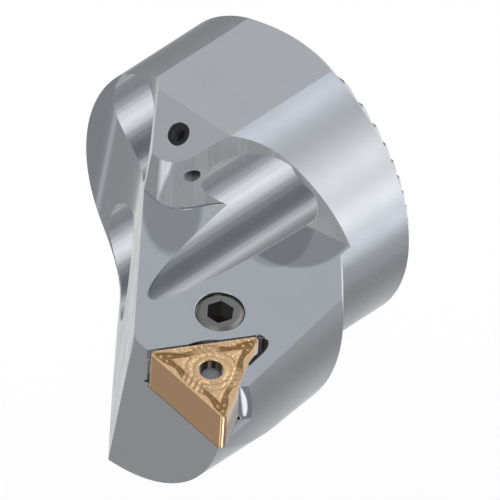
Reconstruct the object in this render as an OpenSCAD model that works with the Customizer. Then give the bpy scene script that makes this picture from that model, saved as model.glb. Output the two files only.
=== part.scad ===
// Exchangeable internal turning head: a turned and milled steel body that carries a small
// triangular double-sided insert, held by a lever and a socket screw.
// Frame: +Y runs back along the bar's axis to the coupling face at y = 0, +X points out
// to the cutting corner, and the rake side faces +Z. The axis is x = 0, z = 0.

/* [Turned blank] */
// Diameter of the short shank behind the flange
shank_d = 32; // [31.9:0.1:33]
// Length of the parallel shank, from the coupling face
shank_len = 9.85; // [9:0.05:10.5]
// Radius of the flange in front of its 45 degree shoulder
flange_r = 19.65; // [19:0.05:20.4]
// Angle at which the flange widens towards the front
flange_taper = 5.32; // [4:0.02:6]
// Chamfer round the coupling end
end_chamfer = 1; // [0.8:0.1:1.5]
// Radius of the clearance cylinder that keeps the flange inside the smallest bore
relief_r = 18.94; // [18.8:0.02:19.6]
// How far the clearance cylinder's axis lies towards the cutting corner
relief_x = 2.89; // [2.4:0.01:3]
// How far the clearance cylinder's axis lies above the bar's axis
relief_z = 1.47; // [1:0.01:2]
// Distance of the flange's milled upper edge below the bar's axis
flange_edge = 0.4; // [0.1:0.05:0.8]
// Slope of that edge across the bar
flange_edge_angle = 23.5; // [22:0.1:25]

/* [Coupling] */
// Distance between neighbouring teeth of the serrated face
tooth_pitch = 1.5; // [1.4:0.1:2]
// Depth of the teeth
tooth_depth = 0.75; // [0.6:0.05:0.8]
// Width of the flat on each tooth's crest
tooth_crest = 0.3; // [0.2:0.05:0.4]
// Diameter of the central coolant inlet
inlet_d = 6; // [5:0.5:8]
// Depth of the central coolant inlet
inlet_len = 11; // [10:0.5:12]
// Diameter of the circle of fastening screws
screw_pcd = 22; // [21:0.5:22]
// Diameter of the through holes for the fastening screws
screw_hole_d = 5.5; // [5:0.1:6.6]
// Diameter of the grooves that take the screw heads and the key
head_d = 9.5; // [8.5:0.1:9.7]
// Distance from the coupling face to the screw head seats
head_seat = 5; // [4:0.1:6]

/* [Top of the shank] */
// Height of the flat above the bar's axis
flat_z = 15; // [14.5:0.1:15.4]
// Length of the flat, from the coupling face
flat_len = 14.54; // [13.5:0.02:15.5]
// Slope of the facet in front of the flat
facet_angle = 40; // [36:1:44]
// Length of the facet down its slope
facet_len = 12; // [10:0.5:14]

/* [Cutting corner] */
// Distance from the bar's axis to the cutting corner
tip_x = 22; // [21.5:0.1:23]
// Distance from the coupling face to the cutting corner
tip_reach = 32; // [31.5:0.1:34]
// Slope of the rake plane across the bar
rake_radial = 9.13; // [8:0.01:10]
// Slope of the rake plane along the bar
rake_axial = 5.65; // [5:0.01:6.5]
// Angle by which the front cutting edge falls back from square
edge_slope = 2.2; // [1:0.1:4]
// Height of the body's rake plane above the insert's corners
floor_lift = 0.13; // [0:0.01:0.3]
// How far the body's front face stands behind the insert's front flank
front_gap = 0.05; // [0:0.01:0.2]

/* [Chip space] */
// Distance from the cutting corner back to the wall's inner corner
wall_back = 20.68; // [20.2:0.01:21.1]
// Distance from the cutting corner across to the wall's inner corner
wall_across = 17.64; // [17:0.01:18]
// Distance from the cutting corner back to the stretch of wall that faces it
nose_back = 13.95; // [13.2:0.01:14.4]
// Angle of the wall's outer stretch
wall_slope = 15.4; // [13:0.1:17]
// Angle of the wall's steep stretch
wall_steep = 60.7; // [58:0.1:62]
// Radius of the wall's inner corner
wall_r = 10.7; // [8:0.1:11]
// Radius of the wall's outer corner
nose_r = 3.5; // [2.5:0.1:3.8]

/* [Side cut] */
// Distance of the long side face from the bar's axis
side_dist = 14.88; // [14:0.02:15.4]
// Angle of the long side face in plan
side_angle = 42.8; // [40:0.1:46]
// Distance from the coupling face to the wall that ends the side cut
side_wall = 12.4; // [12:0.1:13.5]
// Radius between the long side face and that wall
side_r = 8; // [5:0.1:9]
// Sideways lean of the side cut
side_lean = 8.64; // [7:0.02:10]
// Backward lean of the side cut
side_lean_back = 1.7; // [0:0.1:3]
// Radius at which the long side face turns in at the front
front_r = 3.1; // [2:0.1:4]
// Distance from the coupling face at which it has turned square
front_turn = 31.76; // [31.7:0.02:32.2]

/* [Insert] */
// Diameter of the circle inscribed in the triangle
insert_ic = 6.35; // [6.2:0.01:6.5]
// Thickness of the insert
insert_t = 4.76; // [3.97:0.01:5]
// Radius of the insert's corners
insert_r = 0.4; // [0.2:0.1:0.8]
// Diameter of the insert's hole
insert_hole_d = 2.3; // [2.2:0.02:2.6]
// Chamfer round each end of the insert's hole
hole_chamfer = 0.3; // [0.1:0.05:0.35]
// Radius of the moulded chip groove along each cutting edge
groove_r = 1.5; // [1.2:0.1:1.8]
// Depth of the moulded chip groove
groove_depth = 0.16; // [0.1:0.01:0.2]
// Distance of the chip groove's middle from the cutting edge
groove_in = 0.76; // [0.7:0.01:0.9]

/* [Insert pocket] */
// Height above the seat at which the wall steps back from the insert
pocket_band = 3.5; // [2.8:0.1:3.6]
// How far the upper part of the wall stands back from the insert
pocket_gap = 0.14; // [0.08:0.01:0.2]
// How much deeper the shallow hollow in the middle of the wall is
pocket_hollow = 0.22; // [0.1:0.01:0.3]
// Radius of that hollow
pocket_hollow_r = 5; // [4:0.1:6]
// Length of the open stretch beside the insert, back from its front edge
pocket_open = 3.7; // [3:0.1:4.2]
// Angle of the clearance face beside the insert
pocket_open_angle = 54; // [45:1:60]
// Radius of the corner relief
corner_relief_r = 0.68; // [0.5:0.01:0.8]
// Distance of the corner relief down the second wall
corner_relief_down = 0.87; // [0.7:0.01:1]
// Depth of the corner relief's middle in that wall
corner_relief_in = 0.42; // [0.3:0.01:0.5]
// Radius of the relief along the wall's foot
foot_relief_r = 0.32; // [0.2:0.01:0.4]

/* [Lever and screw] */
// Direction from the insert's hole to the lever screw, in the rake plane
lever_angle = 131.1; // [128:0.1:134]
// Distance from the insert's hole to the lever screw
lever_span = 7.09; // [6.9:0.01:7.4]
// Diameter of the lever's post
post_d = 1.8; // [1.6:0.02:1.8]
// Height of the post above the seat
post_up = 3.6; // [3:0.1:4]
// Depth of the lever's pivot below the seat
pivot_down = 2.14; // [2:0.01:2.3]
// Radius of the lever's heel
heel_r = 1.3; // [1.2:0.01:1.4]
// Width of the lever's arm
arm_w = 1.9; // [1.8:0.05:2]
// Thickness of the lever's arm
arm_t = 1.5; // [1.3:0.05:1.6]
// Diameter of the rounded end of the arm
arm_tip_d = 1.3; // [1.1:0.05:1.4]
// Diameter of the lever screw
lever_screw_d = 4.5; // [4.3:0.05:4.6]
// Length of the lever screw
lever_screw_len = 9.1; // [9:0.1:9.6]
// Depth of the lever screw's socket
lever_key_depth = 2.2; // [1.8:0.1:2.4]
// Chamfer round the lever screw's top
lever_screw_chamfer = 0.35; // [0.2:0.05:0.5]
// Chamfer round the mouth of the lever screw's bore
bore_chamfer = 0.15; // [0.05:0.05:0.3]
// Room below the lever screw when it is tight
screw_room = 0.6; // [0.4:0.1:1]
// Diameter of the lever screw's neck
neck_d = 2.6; // [2.4:0.05:2.7]
// Width of the groove round the neck
neck_len = 1.7; // [1.6:0.05:1.9]
// Width across the flats of the lever screw's socket
lever_key = 2.5; // [2:0.5:2.5]
// Radial clearance of the screws in their bores
bore_gap = 0.05; // [0.03:0.01:0.08]
// Clearance of the lever in its slot, on each side
slot_gap = 0.15; // [0.1:0.01:0.2]
// Thickness of steel between the seat's level and the lever's slot
slot_roof = 0.2; // [0.1:0.1:0.5]
// Clearance between the clamped insert's hole and the lever's post
post_gap = 0.03; // [0.02:0.01:0.05]
// Clearance between the arm's end and the screw's neck
neck_gap = 0.19; // [0.15:0.01:0.25]
// Length of the thinner stretch at the arm's end
arm_neck = 1.4; // [1:0.1:1.6]
// Rise of the arm's end above the pivot
arm_rise = 0.2; // [0.1:0.05:0.3]

/* [Coolant outlet] */
// Diameter of the outlet
jet_d = 1.65; // [1.2:0.05:1.8]
// Distance of the outlet across from the cutting corner
jet_across = 20.42; // [20:0.02:20.8]
// Distance of the outlet back from the cutting corner
jet_back = 15.49; // [15.3:0.01:15.7]
// Height of the outlet above the rake plane
jet_up = 5.13; // [4.6:0.01:5.4]
// Sideways place of the plugged drilling
plug_x = 0.44; // [0:0.02:1]
// Distance of the plug down the facet
plug_down = 2.56; // [2.3:0.02:2.8]
// Diameter of the plug
plug_d = 2.3; // [2:0.1:2.6]
// Length of the plug
plug_len = 2; // [1.6:0.1:2.2]
// Depth of the plug's outer end below the facet
plug_sink = 0.1; // [0.05:0.01:0.2]
// Width across the flats of the plug's socket
plug_key = 1.3; // [0.9:0.1:1.3]
// Depth of the plug's socket
plug_key_depth = 1.1; // [0.8:0.1:1.2]
// Diameter of the drilling behind the plug
drill_d = 2; // [1.6:0.1:2]
// Distance along the drilling from the facet to where the outlet joins it
jet_join = 3.3; // [3.2:0.05:4]
// Length of the outlet's drilling past the wall
jet_run_out = 2.5; // [2:0.5:3]

/* [Hidden] */
$fn = 96;

far = 60;
lap = 0.5;
corner_lap = 2;
shank_r = shank_d / 2;
flange_start = shank_len + flange_r - shank_r;
blank_len = tip_reach + 2;
blank_front_r = flange_r + (blank_len - flange_start) * tan(flange_taper);
screw_xy = screw_pcd / 2 * cos(45);
tooth_count = ceil(shank_r / tooth_pitch);
tooth_root = tooth_pitch - tooth_crest - 2 * tooth_depth * tan(30);

// Insert centre, measured in the rake plane from the cutting corner
insert_in = insert_ic / 2;
lean_x = sin(rake_axial) * sin(rake_radial);
nose_u = -insert_r * (sqrt(pow(cos(rake_radial), 2) + pow(lean_x, 2)) + lean_x) / cos(rake_radial);
nose_to_centre = 2 * (insert_in - insert_r);
insert_u = nose_u + nose_to_centre * cos(150 - edge_slope);
insert_v = insert_r + nose_to_centre * sin(150 - edge_slope);
half_edge = insert_in * tan(60);
pocket_wall = 2 * half_edge - pocket_open / sin(60);
pocket_over = 8;

// Front face of the body, measured from the insert's centre
front_edge = -insert_in + front_gap;

// Lever and screw levels, measured from the insert's top face
seat_w = -insert_t;
pivot_w = seat_w - pivot_down;
post_q = insert_hole_d / 2 - post_d / 2 - post_gap;
post_top = seat_w + post_up;
tip_w = pivot_w + arm_rise;
neck_r = neck_d / 2;
tip_q = lever_span - neck_r - neck_gap - arm_tip_d / 2;
neck_top = tip_w + neck_len / 2;
screw_top = floor_lift;
screw_bottom = screw_top - lever_screw_len;
bore_r = lever_screw_d / 2 + bore_gap;
slot_w = arm_w + 2 * slot_gap;
slot_bottom = pivot_w - heel_r - bore_gap;

// Place of the plug on the facet and of the outlet on the wall
plug_y = -flat_len - plug_down * cos(facet_angle);
plug_z = flat_z - plug_down * sin(facet_angle);
drill_len = plug_z / cos(facet_angle);
join = [plug_x, plug_y + jet_join * sin(facet_angle), plug_z - jet_join * cos(facet_angle)];
jet = tip_point(-jet_across, jet_back, jet_up);
jet_dir = jet - join;

// A point given in the rake plane's own directions, as a place in the part's frame
function tip_point(u, v, w) = [
    tip_x + u * cos(rake_radial) + v * lean_x + w * cos(rake_axial) * sin(rake_radial),
    -tip_reach + v * cos(rake_axial) - w * sin(rake_axial),
    -u * sin(rake_radial) + v * sin(rake_axial) * cos(rake_radial) + w * cos(rake_axial) * cos(rake_radial)
];

module at_tip() {
    translate([tip_x, -tip_reach, 0]) rotate([rake_axial, rake_radial, 0]) children();
}

module at_insert() {
    at_tip() translate([insert_u, insert_v, 0]) rotate([0, 0, -edge_slope]) children();
}

// Lever plane: x runs from the insert's hole to the screw, y is up, z is across
module in_lever_plane(width) {
    at_insert() rotate([0, 0, lever_angle]) rotate([90, 0, 0]) translate([0, 0, -width / 2])
        linear_extrude(width) children();
}

module at_lever_screw() {
    at_insert() rotate([0, 0, lever_angle]) translate([lever_span, 0, 0]) children();
}

module at_plug() {
    translate([plug_x, plug_y, plug_z]) rotate([facet_angle, 0, 0]) children();
}

// Cylinder from one point towards another, run on past it
module bar_between(from, along, d, extra) {
    span = norm(along);
    translate(from) rotate([0, acos(along.z / span), atan2(along.y, along.x)])
        cylinder(d = d, h = span + extra);
}

// The sliver that a rounded corner leaves between its two straight lines.
// The lines leave the corner at the angles a1 and a2.
module corner_sliver(corner, a1, a2, r) {
    half = (a2 - a1) / 2;
    mid = (a1 + a2) / 2;
    t = r / tan(half);
    centre = corner + r / sin(half) * [cos(mid), sin(mid)];
    difference() {
        polygon([
            corner - corner_lap * [cos(mid), sin(mid)],
            corner + t * [cos(a1), sin(a1)],
            centre,
            corner + t * [cos(a2), sin(a2)]
        ]);
        translate(centre) circle(r);
    }
}

// The shank's own diameter runs on to the front, with the flange standing out on the cutting side
module turned_blank() {
    rotate([90, 0, 0]) rotate_extrude() polygon([
        [0, 0],
        [shank_r - end_chamfer, 0],
        [shank_r, end_chamfer],
        [shank_r, blank_len],
        [0, blank_len]
    ]);
    intersection() {
        turned_flange();
        clearance_cylinder();
        below_flange_edge();
    }
}

module turned_flange() {
    rotate([90, 0, 0]) rotate_extrude() polygon([
        [0, shank_len - 2 * lap],
        [shank_r - lap, shank_len - 2 * lap],
        [shank_r - lap, shank_len - lap],
        [flange_r, flange_start],
        [blank_front_r, blank_len],
        [0, blank_len]
    ]);
}

module clearance_cylinder() {
    translate([relief_x, 0, relief_z]) rotate([90, 0, 0])
        cylinder(r = relief_r, h = blank_len + lap, $fn = 180);
}

module below_flange_edge() {
    rotate([0, -flange_edge_angle, 0]) translate([-far / 2, -far, -far - flange_edge]) cube(far);
}

// Everything above the flat and the sloping facet
module top_cut() {
    facet_run = facet_len * [cos(facet_angle), sin(facet_angle)];
    translate([-far / 2, 0, 0]) rotate([90, 0, 90]) linear_extrude(far) polygon([
        [1, flat_z],
        [-flat_len, flat_z],
        [-flat_len - facet_run.x, flat_z - facet_run.y],
        [-flat_len - facet_run.x, far],
        [1, far]
    ]);
}

// Plan of the chip space, seen along the normal of the rake plane
module chip_plan() {
    inner = [-wall_across, wall_back];
    outer = [-wall_across - (wall_back - nose_back) / tan(wall_steep), nose_back];
    half = (180 - wall_steep) / 2;
    nose = outer + nose_r / sin(half) * [cos(wall_steep + half), sin(wall_steep + half)];
    difference() {
        polygon([
            inner + far * [cos(wall_slope), sin(wall_slope)],
            inner,
            outer + nose_r / tan(half) * [cos(wall_steep), sin(wall_steep)],
            nose,
            outer - [nose_r / tan(half), 0],
            [-far, nose_back],
            [-far, -far],
            [far, -far]
        ]);
        corner_sliver(inner, wall_steep - 180, wall_slope, wall_r);
        translate(nose) circle(nose_r);
    }
}

module chip_space() {
    at_tip() translate([0, 0, floor_lift]) linear_extrude(far) chip_plan();
}

// Plan of the side cut, seen along the direction in which it leans
module side_plan() {
    along = 90 + side_angle;
    corner = [-(side_dist - side_wall * sin(side_angle)) / cos(side_angle), -side_wall];
    turn = corner + (front_turn - side_wall) / cos(side_angle) * [sin(side_angle), -cos(side_angle)];
    run = front_r / tan(along / 2);
    turn_centre = turn + front_r / sin(along / 2) * [cos(along / 2), sin(along / 2)];
    difference() {
        polygon([
            corner,
            corner + [-far, 0],
            corner + [-far, -far],
            [far, -far - side_wall],
            [far, -front_turn],
            turn + [run, 0],
            turn_centre,
            turn + run * [cos(along), sin(along)]
        ]);
        corner_sliver(corner, 180, 180 + along, side_r);
        translate(turn_centre) circle(front_r);
    }
}

module side_cut() {
    rotate([-side_lean_back, side_lean, 0]) translate([0, 0, -far / 2]) linear_extrude(far) side_plan();
}

// The front face is milled level with the insert's front flank
module front_cut() {
    at_insert() translate([-far / 2, front_edge - far, -far / 2]) cube(far);
}

// Grooves that let the fastening screws and their key in, and the holes behind them
module screw_grooves() {
    for (at = [[1, 1], [-1, 1], [-1, -1]]) translate([at.x * screw_xy, 0, at.y * screw_xy]) {
        translate([0, 1, 0]) rotate([90, 0, 0]) cylinder(d = screw_hole_d, h = head_seat + 2);
        translate([0, -head_seat, 0]) rotate([90, 0, 0]) cylinder(d = head_d, h = far);
    }
}

// One groove between two teeth, across the coupling face
module tooth_gap() {
    mouth = tooth_pitch - tooth_crest;
    translate([-shank_d / 2 - 1, 0, 0]) rotate([90, 0, 90]) linear_extrude(shank_d + 2) polygon([
        [lap, -mouth / 2],
        [0, -mouth / 2],
        [-tooth_depth, -tooth_root / 2],
        [-tooth_depth, tooth_root / 2],
        [0, mouth / 2],
        [lap, mouth / 2]
    ]);
}

module serrations() {
    for (i = [-tooth_count : tooth_count - 1]) translate([0, 0, (i + 0.5) * tooth_pitch]) tooth_gap();
}

module coolant_ways() {
    translate([0, 1, 0]) rotate([90, 0, 0]) cylinder(d = inlet_d, h = inlet_len + 1);
    at_plug() {
        translate([0, 0, -plug_sink - plug_len])
            cylinder(r = plug_d / 2 + bore_gap, h = plug_sink + plug_len + lap);
        translate([0, 0, -drill_len]) cylinder(d = drill_d, h = drill_len);
    }
    bar_between(join, jet_dir, jet_d, jet_run_out);
}

// Plan of the insert: straight sides and round corners, its front edge along the bottom
module insert_plan() {
    corners = [for (k = [0 : 2]) insert_ic * [cos(90 + 120 * k), sin(90 + 120 * k)]];
    difference() {
        polygon(corners);
        for (k = [0 : 2]) corner_sliver(corners[k], 240 + 120 * k, 300 + 120 * k, insert_r);
    }
}

// Plan of the pocket at the insert's seat, open to the front and at the cutting corner
module pocket_plan() {
    apex = [0, insert_ic];
    front = -insert_in - pocket_over;
    left = apex.x - (apex.y - front) / tan(60);
    end_y = -insert_in + pocket_open;
    end_x = (apex.y - end_y) / tan(60);
    out = 4 * insert_in;
    polygon([
        apex,
        [left, front],
        [out, front],
        [out, end_y + (out - end_x) * tan(pocket_open_angle)],
        [end_x, end_y]
    ]);
    corner_relief();
}

// Keyhole relief beside the pocket's corner, along its second wall
module corner_relief() {
    down_wall = [cos(-60), sin(-60)];
    out_wall = [cos(30), sin(30)];
    centre = [0, insert_ic] + corner_relief_down * down_wall + corner_relief_in * out_wall;
    translate(centre) circle(corner_relief_r, $fn = 48);
    polygon([
        centre,
        centre + corner_relief_r * (0.65 * down_wall + 0.76 * out_wall),
        [0, insert_ic] + 2.73 * down_wall + 0.17 * out_wall,
        [0, insert_ic] + 3.6 * down_wall,
        [0, insert_ic] + 3.4 * down_wall - 0.3 * out_wall,
        [0, insert_ic] + 0.8 * down_wall - 0.3 * out_wall
    ]);
}

module insert_pocket() {
    rim = floor_lift + lap;
    at_insert() {
        translate([0, 0, seat_w]) linear_extrude(insert_t + rim) pocket_plan();
        // Upper part of the long wall, set back, with a shallow hollow in its middle
        translate([0, 0, seat_w + pocket_band]) linear_extrude(insert_t - pocket_band + rim) {
            rotate(150) translate([insert_in - lap, insert_r - half_edge])
                square([lap + pocket_gap, half_edge + pocket_over]);
            rotate(150) intersection() {
                translate([insert_in + pocket_gap + pocket_hollow - pocket_hollow_r, 0])
                    circle(pocket_hollow_r);
                translate([insert_in - lap, -half_edge / 2]) square([2 * lap, half_edge]);
            }
        }
        // Reliefs along the feet of both walls
        rotate([0, 0, 150]) translate([insert_in, lap - half_edge, seat_w + foot_relief_r / 2])
            rotate([-90, 0, 0]) cylinder(r = foot_relief_r, h = half_edge + pocket_over, $fn = 32);
        rotate([0, 0, 30]) translate([insert_in, half_edge - pocket_wall, seat_w + foot_relief_r / 2])
            rotate([-90, 0, 0]) cylinder(r = foot_relief_r, h = pocket_wall - 1, $fn = 32);
    }
}

// Slot for the lever under the seat, its round pivot seat and the bore for the screw
module lever_ways() {
    in_lever_plane(slot_w) {
        translate([0, pivot_w]) circle(heel_r + bore_gap);
        translate([-heel_r - bore_gap, pivot_w]) square([heel_r + bore_gap, seat_w - pivot_w + lap]);
        translate([0, slot_bottom]) square([insert_in, seat_w - slot_bottom + lap]);
        translate([0, slot_bottom]) square([lever_span, seat_w - slot_roof - slot_bottom]);
    }
    at_lever_screw() {
        translate([0, 0, screw_bottom - screw_room]) cylinder(r = bore_r, h = lever_screw_len + 2);
        translate([0, 0, floor_lift - bore_chamfer])
            cylinder(r1 = bore_r, r2 = bore_r + 2 * bore_chamfer, h = 2 * bore_chamfer);
    }
}

module holder_body() {
    color("lightslategray") difference() {
        turned_blank();
        top_cut();
        chip_space();
        side_cut();
        front_cut();
        screw_grooves();
        serrations();
        coolant_ways();
        insert_pocket();
        lever_ways();
    }
}

// Chip groove along each edge of one face, and the countersink of the hole
module insert_face_cuts() {
    for (k = [0 : 2]) rotate([0, 0, 120 * k - 90])
        translate([insert_in - groove_in, 0, groove_r - groove_depth])
            rotate([90, 0, 0]) cylinder(r = groove_r, h = 2 * insert_ic, center = true);
    hole_r = insert_hole_d / 2;
    translate([0, 0, -hole_chamfer])
        cylinder(r1 = hole_r, r2 = hole_r + 2 * hole_chamfer, h = 2 * hole_chamfer);
}

module insert() {
    color("peru") at_insert() difference() {
        translate([0, 0, seat_w]) linear_extrude(insert_t) insert_plan();
        translate([0, 0, seat_w - 1]) cylinder(d = insert_hole_d, h = insert_t + 2);
        insert_face_cuts();
        translate([0, 0, seat_w]) rotate([180, 0, 60]) insert_face_cuts();
    }
}

module clamp_lever() {
    color("slategray") {
        in_lever_plane(arm_w) {
            translate([0, pivot_w]) circle(heel_r);
            translate([0, pivot_w - arm_t / 2 - arm_rise]) square([tip_q - arm_neck, arm_t]);
            translate([0, tip_w - arm_tip_d / 2]) square([tip_q, arm_tip_d]);
            translate([tip_q, tip_w]) circle(arm_tip_d / 2);
        }
        at_insert() rotate([0, 0, lever_angle]) translate([post_q, 0, pivot_w])
            cylinder(d = post_d, h = post_top - pivot_w);
    }
}

module lever_screw() {
    color("dimgray") at_lever_screw() difference() {
        translate([0, 0, screw_bottom]) cylinder(d = lever_screw_d, h = lever_screw_len);
        translate([0, 0, neck_top - neck_len]) difference() {
            cylinder(d = lever_screw_d + 2, h = neck_len);
            translate([0, 0, -1]) cylinder(d = neck_d, h = neck_len + 2);
        }
        translate([0, 0, screw_top - lever_screw_chamfer]) difference() {
            cylinder(d = lever_screw_d + 2, h = 1);
            cylinder(r1 = lever_screw_d / 2, r2 = lever_screw_d / 2 - 1, h = 1);
        }
        translate([0, 0, screw_top - lever_key_depth])
            cylinder(d = lever_key / cos(30), h = lever_key_depth + 1, $fn = 6);
    }
}

module coolant_plug() {
    color("dimgray") at_plug() translate([0, 0, -plug_sink - plug_len]) difference() {
        cylinder(d = plug_d, h = plug_len);
        translate([0, 0, plug_len - plug_key_depth]) cylinder(d = plug_key / cos(30), h = plug_len, $fn = 6);
    }
}

holder_body();
insert();
clamp_lever();
lever_screw();
coolant_plug();
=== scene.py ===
# Looks of an exchangeable internal turning head: turned and milled steel, a coated triangular
# insert with a moulded chip former, a lever, its socket screw and a small coolant plug.
import math

import bpy
import numpy as np
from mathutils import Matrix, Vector


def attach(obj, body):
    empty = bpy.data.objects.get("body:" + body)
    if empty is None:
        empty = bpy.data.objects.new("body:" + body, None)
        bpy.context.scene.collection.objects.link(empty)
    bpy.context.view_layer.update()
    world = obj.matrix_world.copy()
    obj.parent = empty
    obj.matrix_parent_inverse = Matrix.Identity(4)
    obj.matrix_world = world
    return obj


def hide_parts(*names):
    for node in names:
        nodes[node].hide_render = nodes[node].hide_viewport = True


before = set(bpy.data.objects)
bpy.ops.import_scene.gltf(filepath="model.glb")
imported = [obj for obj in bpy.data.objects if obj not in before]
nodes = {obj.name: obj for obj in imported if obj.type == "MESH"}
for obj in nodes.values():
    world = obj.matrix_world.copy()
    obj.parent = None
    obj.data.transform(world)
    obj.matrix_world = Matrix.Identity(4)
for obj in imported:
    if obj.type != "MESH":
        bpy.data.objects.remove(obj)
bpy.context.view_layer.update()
mm = 0.001

# where the insert sits: centre of its top face, and the directions of its own axes
insertAt = np.array([17.01434598, -28.65884768, 1.13603839])
rakeRadial, rakeAxial, edgeSlope = math.radians(9.13), math.radians(5.65), math.radians(-2.2)


# rotation about X, then Y, for the two rake angles, after the turn of the edge in the rake plane
def insertAxes():
    cx, sx = math.cos(rakeAxial), math.sin(rakeAxial)
    cy, sy = math.cos(rakeRadial), math.sin(rakeRadial)
    cz, sz = math.cos(edgeSlope), math.sin(edgeSlope)
    turnX = np.array([[1, 0, 0], [0, cx, -sx], [0, sx, cx]])
    turnY = np.array([[cy, 0, sy], [0, 1, 0], [-sy, 0, cy]])
    turnZ = np.array([[cz, -sz, 0], [sz, cz, 0], [0, 0, 1]])
    return turnY @ turnX @ turnZ


insertTurn = insertAxes()
rakeNormal = insertTurn[:, 2]
# top of the lever screw, from the middle of the insert's top: how far, in which direction in the
# rake plane, and how much higher, in mm
screwReach, screwBearing, screwAbove = 7.09, math.radians(131.1), 0.13
screwPlan = screwReach * math.cos(screwBearing), screwReach * math.sin(screwBearing)
screwTop = insertAt + insertTurn @ np.array([*screwPlan, screwAbove])


# a grid of points becomes a mesh; the grid closes on itself where told
def gridMesh(name, points, closeRows, closeCols):
    rows, cols = points.shape[:2]
    r = np.arange(rows if closeRows else rows - 1)
    c = np.arange(cols if closeCols else cols - 1)
    rr, cc = np.meshgrid(r, c, indexing="ij")
    rn, cn = (rr + 1) % rows, (cc + 1) % cols
    quads = np.stack([rr * cols + cc, rn * cols + cc, rn * cols + cn, rr * cols + cn], -1).reshape(-1, 4)
    mesh = bpy.data.meshes.new(name)
    mesh.vertices.add(rows * cols)
    mesh.vertices.foreach_set("co", points.reshape(-1).astype(np.float32))
    mesh.loops.add(quads.size)
    mesh.loops.foreach_set("vertex_index", quads.reshape(-1).astype(np.int32))
    mesh.polygons.add(len(quads))
    mesh.polygons.foreach_set("loop_start", np.arange(0, quads.size, 4, dtype=np.int32))
    mesh.polygons.foreach_set("use_smooth", np.ones(len(quads), bool))
    mesh.update(calc_edges=True)
    mesh.validate()
    obj = bpy.data.objects.new(name, mesh)
    bpy.context.scene.collection.objects.link(obj)
    return obj


# nought below the low value, one above the high one, and an even curve between them
def smoothStep(low, high, value):
    t = np.clip((value - low) / (high - low), 0, 1)
    return t * t * (3 - 2 * t)


# a node tree, with short calls for adding and joining nodes
class Shader:
    def __init__(self, tree):
        self.tree = tree

    def add(self, kind, **values):
        node = self.tree.nodes.new(kind)
        for key, value in values.items():
            if key in node.inputs:
                node.inputs[key].default_value = value
            else:
                setattr(node, key, value)
        return node

    def join(self, source, target):
        self.tree.links.new(source, target)

    def math(self, operation, a, b=None, clamp=False):
        node = self.add("ShaderNodeMath", operation=operation, use_clamp=clamp)
        for socket, value in zip(node.inputs, (a, b)):
            if value is None:
                continue
            if isinstance(value, (int, float)):
                socket.default_value = value
            else:
                self.join(value, socket)
        return node.outputs[0]

    # one operation carried through several masks or numbers
    def chain(self, operation, parts):
        total = parts[0]
        for part in parts[1:]:
            total = self.math(operation, total, part)
        return total

    def times(self, *parts):
        return self.chain("MULTIPLY", parts)

    def most(self, *parts):
        return self.chain("MAXIMUM", parts)

    def flip(self, mask):
        return self.math("SUBTRACT", 1.0, mask)

    def length(self, a, b):
        return self.math("SQRT", self.math("ADD", self.times(a, a), self.times(b, b)))

    def dot(self, vector, direction):
        node = self.add("ShaderNodeVectorMath", operation="DOT_PRODUCT")
        self.join(vector, node.inputs[0])
        node.inputs[1].default_value = [float(v) for v in direction]
        return node.outputs["Value"]

    # distance along a direction, counted from a point
    def along(self, point, start, direction):
        return self.math("SUBTRACT", self.dot(point, direction), float(np.dot(start, direction)))

    def split(self, vector):
        node = self.add("ShaderNodeSeparateXYZ")
        self.join(vector, node.inputs[0])
        return tuple(node.outputs)

    def range(self, value, low, high, toLow=0.0, toHigh=1.0, smooth=True):
        node = self.add("ShaderNodeMapRange", interpolation_type="SMOOTHSTEP" if smooth else "LINEAR")
        self.join(value, node.inputs["Value"])
        for key, number in (("From Min", low), ("From Max", high), ("To Min", toLow), ("To Max", toHigh)):
            node.inputs[key].default_value = number
        return node.outputs["Result"]

    # masks that rise or fall smoothly between two values
    def rise(self, value, low, high):
        return self.range(value, low, high)

    def fall(self, value, low, high):
        return self.range(value, low, high, 1.0, 0.0)

    # colours read off a list of places from 0 to 1, with soft steps between them
    def ramp(self, place, stops):
        node = self.add("ShaderNodeValToRGB")
        node.color_ramp.interpolation = "EASE"
        elements = node.color_ramp.elements
        while len(elements) < len(stops):
            elements.new(0.5)
        for element, (position, colour) in zip(elements, stops):
            element.position = position
            element.color = (*colour, 1)
        self.join(place, node.inputs["Fac"])
        return node.outputs["Color"]

    def mixColour(self, mask, a, b, blend="MIX"):
        node = self.add("ShaderNodeMix", data_type="RGBA", blend_type=blend)
        self.join(mask, node.inputs["Factor"])
        for socket, value in ((node.inputs[6], a), (node.inputs[7], b)):
            if isinstance(value, float):
                value = (value, value, value)
            if isinstance(value, tuple):
                socket.default_value = (*value, 1)
            else:
                self.join(value, socket)
        return node.outputs[2]

    def multiplyColour(self, mask, colour, tone):
        return self.mixColour(mask, colour, tone, "MULTIPLY")


def newGroup(name, inputs, outputs):
    tree = bpy.data.node_groups.new(name, "ShaderNodeTree")
    for label, kind, value in inputs:
        socket = tree.interface.new_socket(label, in_out="INPUT", socket_type=kind)
        if value is not None:
            socket.default_value = value
    for label, kind in outputs:
        tree.interface.new_socket(label, in_out="OUTPUT", socket_type=kind)
    return Shader(tree), tree.nodes.new("NodeGroupInput"), tree.nodes.new("NodeGroupOutput")


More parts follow.
